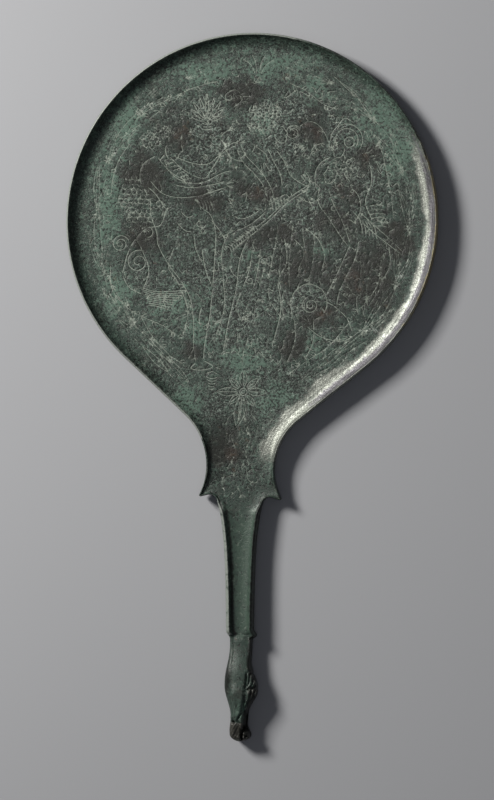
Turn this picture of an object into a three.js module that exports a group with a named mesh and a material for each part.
// A cast bronze hand mirror of the Etruscan kind: a thin dished disc with a raised rim, which
// narrows through two hollow shoulders to a neck with a spur on each side, and a channelled
// handle that ends in a small animal's head. All of it is one casting, so it is one solid.
//
// Frame, in millimetres: the mirror lies on its slightly domed face with the dished side up.
// +Z points up out of the dished side, +Y runs from the handle to the top of the disc, and the
// origin is the middle of the small flat under the disc, on the surface that the mirror lies on.
//
// The skin is a set of closed rings. Each ring is the outline moved inwards: the first ones run
// under the casting from its spine to its edge, the next ones climb the edge, and the last ones
// go over the rim, down its hollow inner wall and across the field, back to the spine on top.

import * as THREE from 'three';

// ---- Driving dimensions: the outline

const DISC_RADIUS = 76.7;
const DISC_DROP = 49.3;        // degrees that the disc's arc goes on below its widest line
const SHOULDER_LENGTH = 34.7;  // straight stretch from the disc towards the neck
const SHOULDER_RADIUS = 27.6;  // hollow curve that brings the shoulder into the neck
const FLARE_RADIUS = 24.5;     // hollow curve from the neck out to the tip of the spur
const FLARE_TURN = 27.5;
const SPUR_TIP_RADIUS = 0.6;
const SPUR_TIP_TURN = 133.5;
const SPUR_UNDERSIDE = 3.0;    // nearly straight lower edge of the spur
const UNDERCUT_RADIUS = 3.1;   // hollow where the spur meets the handle
const UNDERCUT_TURN = 91;
const HANDLE_HALF_WIDTH = 5.7;
const COLLAR_Y = -170;         // where the handle ends and the animal's throat begins
const COLLAR_LENGTH = 3;
const HEAD_END_Y = -213.5;
const HANDLE_BEND = 2.5;       // degrees by which the handle leans towards +X
const BEND_Y = -106;
const BEND_REACH = 12;         // the bend is spread over this much to each side of BEND_Y

// Half-widths of the head: a straight taper from throat to muzzle, with one swelling for the
// cheek and one for the nose. "at" is measured along the head from the collar.
const HEAD_SIDES = {
  left: {
    throat: 4.25, muzzle: 3.7, tab: 0,
    cheek: { at: 21, rise: 17, fall: 12, swell: 2.4 },
    nose: { at: 39.5, rise: 6, fall: 6, swell: 0.6 },
  },
  right: {
    throat: 5.3, muzzle: 2.6, tab: 0.9,
    cheek: { at: 22.5, rise: 12.5, fall: 9.5, swell: 3.5 },
    nose: { at: 41, rise: 4.5, fall: 4.5, swell: 1.7 },
  },
};
const NOSE_ROUNDING = 2.6;     // length over which the nose closes

// ---- Driving dimensions: heights and sections

const FIELD_THICKNESS = 2.6;
const DOME_RISE = 3.4;         // height that the dome of the disc would reach far from its middle
const DOME_RADIUS = 590;       // radius of the dome at its middle
const REST_RADIUS = 22;        // of the flat on which the disc lies
const HANDLE_START_Y = -92;    // the plate of the neck turns into the bar of the handle here ...
const HANDLE_FULL_Y = -124;    // ... and has done so here

// Sections from the top of the mirror down to the nose. crest and foot are the distances of the
// rim's crest and of the foot of its inner wall from the edge. rise is the crest's height over
// the floor, and below zero where the head is domed. drop is how far the outer shoulder falls
// from the crest to the upright edge. cove is the height, at the edge, of the soft hollow that
// joins floor and wall, and coveReach is how far in it runs out. belly is how far in the rounding
// under the edge reaches, and side is its height. floor and under are the heights of the floor
// and of the underside of the handle's bar, which take over from the disc's below
// HANDLE_START_Y.
const SECTIONS = [
  {
    y: 80, crest: 0.8, foot: 7.0, rise: 4.2, drop: 1.1,
    cove: 0.3, coveReach: 14, belly: 1.8, side: 1.4, floor: 5.6, under: 3.0,
  },
  {
    y: -50, crest: 0.8, foot: 7.0, rise: 4.2, drop: 1.1,
    cove: 0.5, coveReach: 14, belly: 1.8, side: 1.4, floor: 5.6, under: 3.0,
  },
  {
    y: -84, crest: 0.8, foot: 4.6, rise: 3.1, drop: 1.0,
    cove: 1.7, coveReach: 12, belly: 2.4, side: 1.6, floor: 5.6, under: 2.6,
  },
  {
    y: -104, crest: 0.7, foot: 2.4, rise: 1.9, drop: 0.9,
    cove: 0.9, coveReach: 10, belly: 3.4, side: 2.0, floor: 5.6, under: 1.9,
  },
  {
    y: -110, crest: 0.4, foot: 0.7, rise: 1.4, drop: 0.8,
    cove: 0.5, coveReach: 6, belly: 0.7, side: 1.2, floor: 5.7, under: 1.6,
  },
  {
    y: -115, crest: 0.6, foot: 1.2, rise: 1.3, drop: 1.0,
    cove: 0.8, coveReach: 6, belly: 1.0, side: 1.8, floor: 5.8, under: 1.3,
  },
  {
    y: -121, crest: 1.5, foot: 3.3, rise: 1.9, drop: 2.6,
    cove: 2.2, coveReach: 6.2, belly: 4.6, side: 3.4, floor: 6.0, under: 1.0,
  },
  {
    y: -168, crest: 1.7, foot: 3.5, rise: 2.2, drop: 3.2,
    cove: 2.2, coveReach: 6, belly: 4.6, side: 3.8, floor: 6.4, under: 1.0,
  },
  {
    y: -173, crest: 1.8, foot: 3.6, rise: 0.5, drop: 2.8,
    cove: 0.4, coveReach: 5.6, belly: 3.6, side: 3.4, floor: 7.2, under: 0.8,
  },
  {
    y: -188, crest: 2.2, foot: 4.2, rise: -0.4, drop: 3.4,
    cove: 0, coveReach: 6, belly: 3.8, side: 4.2, floor: 10.0, under: 0,
  },
  {
    y: -195, crest: 2.2, foot: 4.0, rise: -1.0, drop: 3.4,
    cove: 0, coveReach: 5, belly: 3.4, side: 4.2, floor: 10.7, under: 0,
  },
  {
    y: -203, crest: 1.5, foot: 2.6, rise: -0.9, drop: 3.0,
    cove: 0, coveReach: 5, belly: 2.4, side: 3.6, floor: 10.0, under: 0,
  },
  {
    y: -214, crest: 1.0, foot: 1.9, rise: -0.6, drop: 2.4,
    cove: 0, coveReach: 5, belly: 1.9, side: 3.4, floor: 8.5, under: 0,
  },
];
const WALL_STEEPNESS = 1.3;    // power of the sine by which the inner wall falls to its foot

// ---- Fineness of the skin

const DISC_STEPS = 30;
const SHOULDER_STEPS = 5;
const SHOULDER_CURVE_STEPS = 8;
const FLARE_STEPS = 4;
const TIP_STEPS = 3;
const UNDERCUT_STEPS = 5;
const HANDLE_STEPS = 11;
const HEAD_STEPS = 16;
const NOSE_STEPS = 4;
const HANDLE_CROWDING = 1.4;   // power that brings the handle's steps closer together at its top
const COLLAR_PLACES = [0.35, 0.6, 0.8, 1.0, 1.3, 1.6];  // in lengths of the collar from its top
const SMOOTHING_REACH = 3.5;   // inward directions are averaged over this much edge on each side
const INWARD_LIMIT = 0.88;     // share of the way to the spine that a ring's place may move in

// Where the rings lie: shares of the way from the belly, or from the foot of the wall, to the
// spine, and shares of the quarter turn of each rounding.
const UNDER_SHARES = [0.4];
const CORNER_TURNS = [1, 0.66, 0.33, 0];
const SHOULDER_TURNS = [0, 0.4, 0.75, 1];
const WALL_TURNS = [0.3, 0.55, 0.8, 1];
const FIELD_SHARES = [0.33, 0.66];

const radians = THREE.MathUtils.degToRad;
const { lerp, clamp, smoothstep } = THREE.MathUtils;

// ---- The outline of the right side, walked clockwise from the top of the disc

class Walk {
  constructor(x, y, heading) {
    this.position = new THREE.Vector2(x, y);
    this.heading = heading;
    this.points = [this.position.clone()];
  }

  step(length, direction) {
    this.position.x += length * Math.cos(radians(direction));
    this.position.y += length * Math.sin(radians(direction));
    this.points.push(this.position.clone());
  }

  forward(length, steps) {
    for (let i = 0; i < steps; i++) this.step(length / steps, this.heading);
  }

  // A round bend. A positive turn is clockwise, and every step is a chord of the arc.
  bend(radius, turn, steps) {
    const part = turn / steps;
    const chord = 2 * radius * Math.sin(radians(Math.abs(part) / 2));
    for (let i = 0; i < steps; i++) {
      this.step(chord, this.heading - part / 2);
      this.heading -= part;
    }
  }
}

// One smooth swelling: 0 away from it and 1 at its middle, as a raised cosine.
function swelling(s, { at, rise, fall, swell }) {
  const t = clamp((s - at) / (s < at ? rise : fall), -1, 1);
  return swell * 0.5 * (1 + Math.cos(Math.PI * t));
}

// The half-width of the handle and the head at height y on one side.
function lowerHalfWidth(y, side) {
  const along = COLLAR_Y - y;
  const length = COLLAR_Y - HEAD_END_Y;
  const head = lerp(side.throat, side.muzzle, clamp(along / length, 0, 1))
    + swelling(along, side.cheek) + swelling(along, side.nose);
  const toHead = smoothstep(-y, -COLLAR_Y - COLLAR_LENGTH / 2, -COLLAR_Y + COLLAR_LENGTH / 2);
  const tab = swelling(along, { at: 0, rise: COLLAR_LENGTH, fall: COLLAR_LENGTH / 2, swell: side.tab });
  const closing = clamp((y - HEAD_END_Y) / NOSE_ROUNDING, 0, 1);
  return (lerp(HANDLE_HALF_WIDTH, head, toHead) + tab) * Math.sqrt(1 - (1 - closing) ** 2);
}

// How far the bent axis of the handle stands from the disc's axis at height y.
function axisOffset(y) {
  const below = BEND_Y + BEND_REACH - y;
  if (below <= 0) return 0;
  const slope = Math.tan(radians(HANDLE_BEND));
  if (below < 2 * BEND_REACH) return slope * below ** 2 / (4 * BEND_REACH);
  return slope * (below - BEND_REACH);
}

function outlineOf(side) {
  const walk = new Walk(0, DISC_RADIUS, 0);
  walk.bend(DISC_RADIUS, 90 + DISC_DROP, DISC_STEPS);
  walk.forward(SHOULDER_LENGTH, SHOULDER_STEPS);
  walk.bend(SHOULDER_RADIUS, -DISC_DROP, SHOULDER_CURVE_STEPS);
  walk.bend(FLARE_RADIUS, -FLARE_TURN, FLARE_STEPS);
  const spurStart = walk.points.length - FLARE_STEPS;
  walk.bend(SPUR_TIP_RADIUS, SPUR_TIP_TURN, TIP_STEPS);
  walk.forward(SPUR_UNDERSIDE, 1);
  walk.bend(UNDERCUT_RADIUS, -UNDERCUT_TURN, UNDERCUT_STEPS);
  const spurEnd = walk.points.length - 1;
  const points = walk.points;

  // From the undercut the edge eases into the straight handle, as a dying exponential.
  const top = points[spurEnd].clone();
  const excess = top.x - HANDLE_HALF_WIDTH;
  const ease = excess / -Math.tan(radians(walk.heading + 90));
  const collarTop = COLLAR_Y + COLLAR_LENGTH;
  for (let i = 1; i <= HANDLE_STEPS; i++) {
    const y = lerp(top.y, collarTop, (i / HANDLE_STEPS) ** HANDLE_CROWDING);
    const x = HANDLE_HALF_WIDTH + excess * Math.exp(-(top.y - y) / ease);
    points.push(new THREE.Vector2(x, y));
  }
  for (const place of COLLAR_PLACES) {
    const y = collarTop - place * COLLAR_LENGTH;
    points.push(new THREE.Vector2(lowerHalfWidth(y, side), y));
  }
  const headTop = points.at(-1).y;
  const noseTop = HEAD_END_Y + NOSE_ROUNDING;
  for (let i = 1; i <= HEAD_STEPS; i++) {
    const y = lerp(headTop, noseTop, i / HEAD_STEPS);
    points.push(new THREE.Vector2(lowerHalfWidth(y, side), y));
  }
  for (let i = 1; i <= NOSE_STEPS; i++) {
    const y = noseTop - NOSE_ROUNDING * Math.sin(Math.PI / 2 * i / NOSE_STEPS);
    points.push(new THREE.Vector2(i < NOSE_STEPS ? lowerHalfWidth(y, side) : 0, y));
  }
  return { points, spurStart, spurEnd };
}

// ---- The spine, which the rings of both sides close on

const DISC_SPINE = 12;         // the spine reaches this far to each side of the disc's middle
const DISC_END_Y = -58;        // the edge below this belongs to the shoulders
const SPINE_JOIN_Y = -100;     // below this the spine keeps level with the edge
const NOSE_JOIN_Y = -200;
const SPINE_END_Y = HEAD_END_Y + 2.9;
const SPINE_MARGIN = 1;        // a ring under the casting keeps this far from the spine ...
const SPINE_MARGIN_SHARE = 0.25;  // ... or this share of the way, where the way is short
const SPUR_LAG = 2.4;          // the spurs' columns meet the spine nearer the neck than the handle

function spineY(y) {
  const { mapLinear } = THREE.MathUtils;
  if (y > DISC_END_Y) return mapLinear(y, DISC_END_Y, DISC_RADIUS, -DISC_SPINE, DISC_SPINE);
  if (y > SPINE_JOIN_Y) return mapLinear(y, SPINE_JOIN_Y, DISC_END_Y, SPINE_JOIN_Y, -DISC_SPINE);
  if (y < NOSE_JOIN_Y) return mapLinear(y, NOSE_JOIN_Y, HEAD_END_Y, NOSE_JOIN_Y, SPINE_END_Y);
  return y;
}

// ---- Heights

function section(y) {
  let i = 0;
  while (i < SECTIONS.length - 2 && y < SECTIONS[i + 1].y) i++;
  const [a, b] = [SECTIONS[i], SECTIONS[i + 1]];
  const t = smoothstep(-y, -a.y, -b.y);
  return Object.fromEntries(Object.keys(a).map((key) => [key, lerp(a[key], b[key], t)]));
}

// The dome of the disc at distance r from its middle: a sphere that levels out near the rim.
function dome(r) {
  return DOME_RISE * (1 - Math.exp(-(r ** 2) / (2 * DOME_RADIUS * DOME_RISE)));
}

function barShare(y) {
  return smoothstep(-y, -HANDLE_START_Y, -HANDLE_FULL_Y);
}

function floorHeight(x, y, at) {
  const dished = FIELD_THICKNESS + dome(Math.hypot(x, y)) - dome(REST_RADIUS);
  return lerp(dished, at.floor, barShare(y));
}

function underHeight(x, y, at) {
  const domed = Math.max(0, dome(Math.hypot(x, y)) - dome(REST_RADIUS));
  return lerp(domed, at.under, barShare(y));
}

// ---- The rings

// Both sides as one closed loop of columns. A column is one place on the edge, with its inward
// direction, its point on the spine, and its section.
function columns() {
  const right = outlineOf(HEAD_SIDES.right);
  const left = outlineOf(HEAD_SIDES.left);
  const spine = right.points.map((p) => spineY(p.y));
  for (let i = right.spurStart; i < right.spurEnd; i++) {
    const t = ((i - right.spurStart + 1) / (right.spurEnd - right.spurStart + 1)) ** SPUR_LAG;
    spine[i] = lerp(spine[right.spurStart - 1], spine[right.spurEnd], t);
  }
  const last = right.points.length - 1;
  const loop = right.points.map((p, i) => ({ edge: p.clone(), spine: i }));
  for (let i = last - 1; i > 0; i--) {
    loop.push({ edge: new THREE.Vector2(-left.points[i].x, left.points[i].y), spine: i });
  }
  for (const column of loop) column.level = spine[column.spine];

  const count = loop.length;
  const facing = loop.map((column, i) => {
    const before = loop[(i + count - 1) % count].edge;
    const after = loop[(i + 1) % count].edge;
    return new THREE.Vector2(after.y - before.y, before.x - after.x).normalize();
  });
  loop.forEach((column, i) => {
    const inward = facing[i].clone();
    for (const way of [1, -1]) {
      let walked = 0;
      for (let k = i; walked < SMOOTHING_REACH;) {
        const next = (k + way + count) % count;
        walked += loop[k].edge.distanceTo(loop[next].edge);
        inward.addScaledVector(facing[next], Math.max(0, 1 - walked / SMOOTHING_REACH));
        k = next;
      }
    }
    column.inward = inward.normalize();
    column.section = section(column.edge.y);
    column.middle = new THREE.Vector2(0, column.level);
    column.reach = INWARD_LIMIT * column.edge.distanceTo(column.middle);
  });
  return { loop, spine };
}

function movedIn(column, distance) {
  return column.edge.clone().addScaledVector(column.inward, Math.min(distance, column.reach));
}

function towardsSpine(column, from, share) {
  return movedIn(column, from).lerp(column.middle, share);
}

function distanceToEdge(p, loop) {
  const segment = new THREE.Vector2();
  const way = new THREE.Vector2();
  return Math.min(...loop.map(({ edge }, i) => {
    segment.subVectors(loop[(i + 1) % loop.length].edge, edge);
    way.subVectors(p, edge);
    const along = clamp(way.dot(segment) / segment.lengthSq(), 0, 1);
    return way.addScaledVector(segment, -along).length();
  }));
}

const QUARTER = Math.PI / 2;

// Each entry gives the place and the height of one ring at a column, from the spine's underside
// out to the edge and back over the top.
function ringRules(loop) {
  const rules = [];
  const under = (share) => (column) => {
    const p = towardsSpine(column, column.section.belly, share);
    return [p, underHeight(p.x, p.y, column.section)];
  };
  // The edge of the flat: where the way from the spine to the belly leaves the rest circle.
  const restEdge = (column) => {
    const way = movedIn(column, column.section.belly).sub(column.middle);
    const margin = Math.min(SPINE_MARGIN, SPINE_MARGIN_SHARE * way.length());
    way.normalize();
    const along = column.middle.dot(way);
    const inside = REST_RADIUS ** 2 - column.middle.lengthSq();
    const distance = inside > 0 ? Math.sqrt(along ** 2 + inside) - along : 0;
    const p = way.multiplyScalar(Math.max(distance, margin)).add(column.middle);
    return [p, underHeight(p.x, p.y, column.section)];
  };
  const rounding = (turn) => (column) => {
    const { belly, side } = column.section;
    const p = movedIn(column, belly * (1 - Math.cos(turn)));
    const base = movedIn(column, belly);
    return [p, underHeight(base.x, base.y, column.section) + side * (1 - Math.sin(turn))];
  };
  // Added height of the soft hollow along the wall: the square of what is left of its reach.
  const cove = (p, { section: at }) => {
    const share = Math.max(0, 1 - distanceToEdge(p, loop) / at.coveReach);
    return at.cove * share ** 2;
  };
  const crestHeight = (column) => {
    const { foot, rise } = column.section;
    const p = movedIn(column, foot);
    return floorHeight(p.x, p.y, column.section) + rise;
  };
  const shoulder = (turn) => (column) => {
    const { crest, drop } = column.section;
    const p = movedIn(column, crest * (1 - Math.cos(turn)));
    return [p, crestHeight(column) - drop * (1 - Math.sin(turn))];
  };
  const wall = (turn) => (column) => {
    const { crest, foot, rise } = column.section;
    const p = movedIn(column, lerp(crest, foot, 1 - Math.cos(turn)));
    const crestCove = cove(movedIn(column, crest), column);
    const fall = (rise - crestCove) * Math.sin(turn) ** WALL_STEEPNESS;
    return [p, crestHeight(column) - crestCove - fall + cove(p, column)];
  };
  const field = (share) => (column) => {
    const p = towardsSpine(column, column.section.foot, share);
    return [p, floorHeight(p.x, p.y, column.section) + cove(p, column)];
  };
  rules.push(restEdge);
  for (const share of UNDER_SHARES) rules.push(under(share));
  for (const part of CORNER_TURNS) rules.push(rounding(part * QUARTER));
  for (const part of SHOULDER_TURNS) rules.push(shoulder(part * QUARTER));
  for (const part of WALL_TURNS) rules.push(wall(part * QUARTER));
  for (const share of FIELD_SHARES) rules.push(field(share));
  return rules;
}

// ---- The solid

function mirrorGeometry() {
  const { loop, spine } = columns();
  const rules = ringRules(loop);
  const positions = [];
  const triangles = [];
  const put = (p, height) => positions.push(p.x + axisOffset(p.y), p.y, height) / 3 - 1;

  const spinePoint = (height) => spine.map((y) => {
    const p = new THREE.Vector2(0, y);
    return put(p, height(0, y, section(y)));
  });
  const below = spinePoint(underHeight);
  const rings = rules.map((rule) => loop.map((column) => put(...rule(column))));
  const above = spinePoint(floorHeight);

  // Bands between neighbouring rings. The outline runs clockwise seen from above.
  const band = (lower, upper) => {
    loop.forEach((column, i) => {
      const j = (i + 1) % loop.length;
      const [a, b, c, d] = [lower[i], lower[j], upper[j], upper[i]];
      triangles.push(a, c, b, a, d, c);
    });
  };
  const spineRing = (points) => loop.map((column) => points[column.spine]);
  const all = [spineRing(below), ...rings, spineRing(above)];
  for (let k = 0; k < all.length - 1; k++) band(all[k], all[k + 1]);

  const geometry = new THREE.BufferGeometry();
  geometry.setAttribute('position', new THREE.Float32BufferAttribute(positions, 3));
  geometry.setIndex(triangles);
  geometry.computeVertexNormals();
  return geometry;
}

const patinatedBronze = new THREE.MeshStandardMaterial({
  color: 0x4c5e53,
  roughness: 0.62,
  metalness: 0.35,
});

const mirror = new THREE.Mesh(mirrorGeometry(), patinatedBronze);
mirror.name = 'hand_mirror';

const object = new THREE.Group();
object.add(mirror);

export default object;
